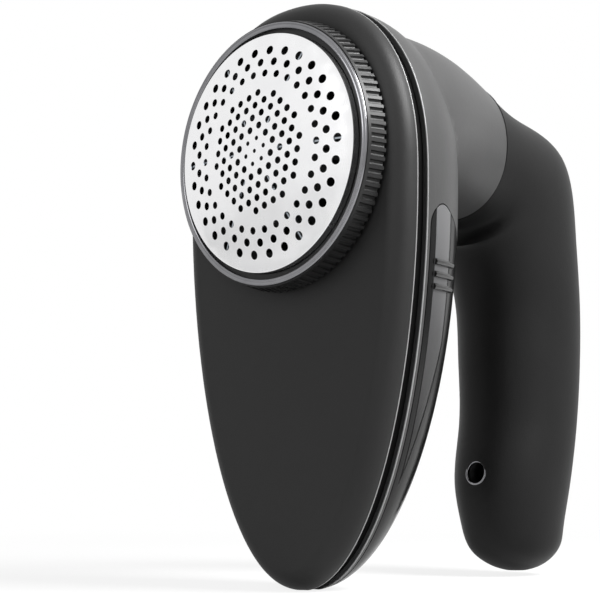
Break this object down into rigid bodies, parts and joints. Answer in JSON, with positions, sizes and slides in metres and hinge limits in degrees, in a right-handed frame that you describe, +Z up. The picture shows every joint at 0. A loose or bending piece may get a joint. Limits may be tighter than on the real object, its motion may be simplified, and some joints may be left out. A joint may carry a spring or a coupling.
{
  "type": "fabric shaver",
  "caption": "Handheld fabric shaver: oval head with a perforated domed foil over spinning blades, pull-off lint bin, and a curved hollow handle with a charging inlet.",
  "frame": {"origin": "middle of the shaver's footprint, on the surface that the head's tip touches", "axes": "+X to the right of the foil, -Y the way the foil faces, +Y towards the handle, +Z up from the head's tip to its top"},
  "size_m": [0.0722, 0.1178, 0.1386],
  "materials": {
    "foil_steel": "polished, perforated",
    "dark_chrome": "bright",
    "blade_steel": "ground",
    "motor_steel": "zinc plated",
    "spring_steel": "bright",
    "matte_black": "fine matte",
    "satin_black": "satin",
    "deep_black": "matte",
    "smoke_gloss": "glossy smoke",
    "soft_touch": "soft touch",
    "seal_rubber": "matte",
    "copper": "plain",
    "brass": "plain",
    "magnet_grey": "sintered",
    "carbon": "sintered",
    "board_green": "solder mask",
    "chip_black": "moulded",
    "cell_wrap": "shrink wrap"
  },
  "bodies": {
    "shell": {"front_cover": "matte_black", "chassis": "deep_black", "bin_seal": "seal_rubber", "rear_housing": "satin_black", "motor_can": "motor_steel", "motor_end_cap": "deep_black", "motor_terminals": "brass", "motor_magnets": "magnet_grey", "motor_bushes": "brass", "motor_brushes": "carbon", "brush_springs": "copper", "handle_sleeve": "soft_touch", "handle_core_left": "matte_black", "handle_core_right": "matte_black", "battery_cell": "cell_wrap", "cell_contacts": "spring_steel", "charge_board": "board_green", "charge_chip": "chip_black", "charge_jack": "deep_black", "charge_jack_pin": "spring_steel", "switch_body": "motor_steel", "cover_screws": "motor_steel", "housing_screws": "motor_steel", "motor_screws": "motor_steel", "handle_screws": "motor_steel"},
    "foil_head": {"foil_screen": "foil_steel", "foil_carrier": "deep_black"},
    "ring": {"lock_ring": "deep_black", "bezel_ring": "dark_chrome"},
    "rotor": {"motor_shaft": "motor_steel", "armature": "copper", "commutator": "copper", "drive_coupler": "matte_black", "blade_spring": "spring_steel"},
    "blade": {"blade_disc": "deep_black", "blades": "blade_steel"},
    "bin": {"lint_bin": "smoke_gloss"},
    "switch": {"switch_slider": "satin_black"}
  },
  "joints": [
    {"name": "foil_lift", "type": "slide", "parent": "shell", "child": "foil_head", "axis": [0, -1, 0], "range_m": [0, 0.0045]},
    {"name": "ring_turn", "type": "hinge", "parent": "foil_head", "child": "ring", "pos_m": [0, -0.0555, 0.1014], "axis": [0, -1, 0], "range_deg": [0, 269.5]},
    {"name": "motor_spin", "type": "hinge", "parent": "shell", "child": "rotor", "pos_m": [0, -0.0555, 0.1014], "axis": [0, 1, 0], "continuous": true},
    {"name": "blade_float", "type": "slide", "parent": "rotor", "child": "blade", "axis": [0, 1, 0], "range_m": [0, 0.001], "stiffness_N_per_m": 400, "springref_m": -0.002, "deforming": ["blade_spring"]},
    {"name": "bin_slide", "type": "slide", "parent": "shell", "child": "bin", "axis": [0, 0, -1], "range_m": [0, 0.03]},
    {"name": "switch_slide", "type": "slide", "parent": "shell", "child": "switch", "axis": [0, 0.9413, -0.3376], "range_m": [0, 0.004]}
  ],
  "couplings": [
    {"joint": "foil_lift", "follows": "ring_turn", "m_per_rad": 0.00095493}
  ]
}
